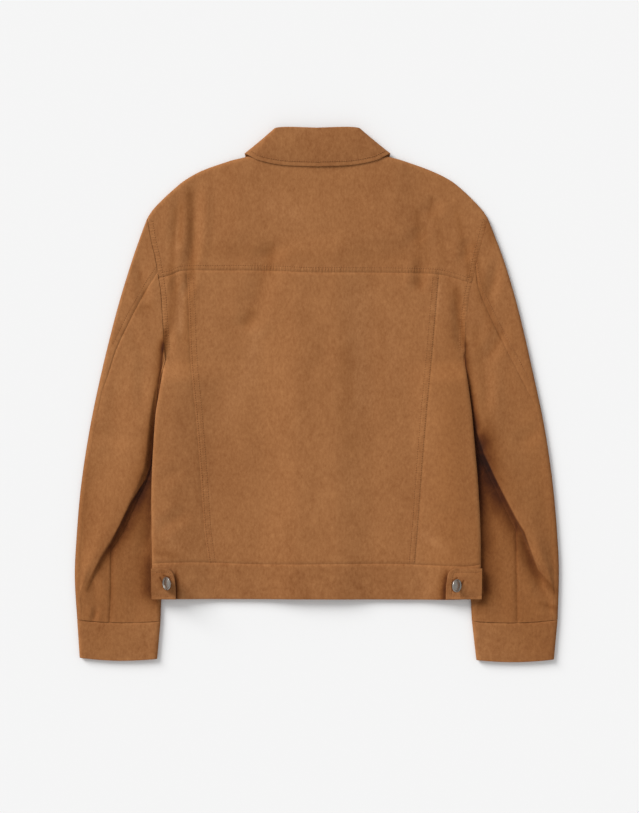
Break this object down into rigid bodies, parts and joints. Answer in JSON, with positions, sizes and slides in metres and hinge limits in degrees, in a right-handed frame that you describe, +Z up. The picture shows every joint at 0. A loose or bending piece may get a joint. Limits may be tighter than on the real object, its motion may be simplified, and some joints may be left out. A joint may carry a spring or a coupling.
{
  "type": "suede jacket",
  "caption": "Tan suede trucker jacket laid flat with its back up, with a pointed collar, back yoke, waist tabs and metal buttons.",
  "frame": {"origin": "on the surface it lies on, under the middle of its box", "axes": "+Z up out of the jacket's back, +Y from hem to collar, the wearer's right at +X"},
  "size_m": [0.6792, 0.7517, 0.0298],
  "materials": {
    "suede": "matt brushed nap",
    "antique_silver": "antiqued, worn bright on its rim"
  },
  "bodies": {
    "root": {"back_yoke": "suede", "back_center": "suede", "back_side_left": "suede", "back_side_right": "suede", "front_left": "suede", "front_placket": "suede", "front_right": "suede", "waistband_back": "suede", "waistband_front_left": "suede", "waistband_front_right": "suede", "sleeve_under_left": "suede", "sleeve_top_left": "suede", "sleeve_under_right": "suede", "sleeve_top_right": "suede", "cuff_left": "suede", "cuff_right": "suede", "collar": "suede", "tab_left": "suede", "tab_right": "suede", "tab_button_left": "antique_silver", "tab_button_right": "antique_silver", "front_button_1": "antique_silver", "front_button_2": "antique_silver", "front_button_3": "antique_silver", "front_button_4": "antique_silver", "front_button_5": "antique_silver", "front_button_6": "antique_silver", "front_button_7": "antique_silver"}
  },
  "joints": []
}
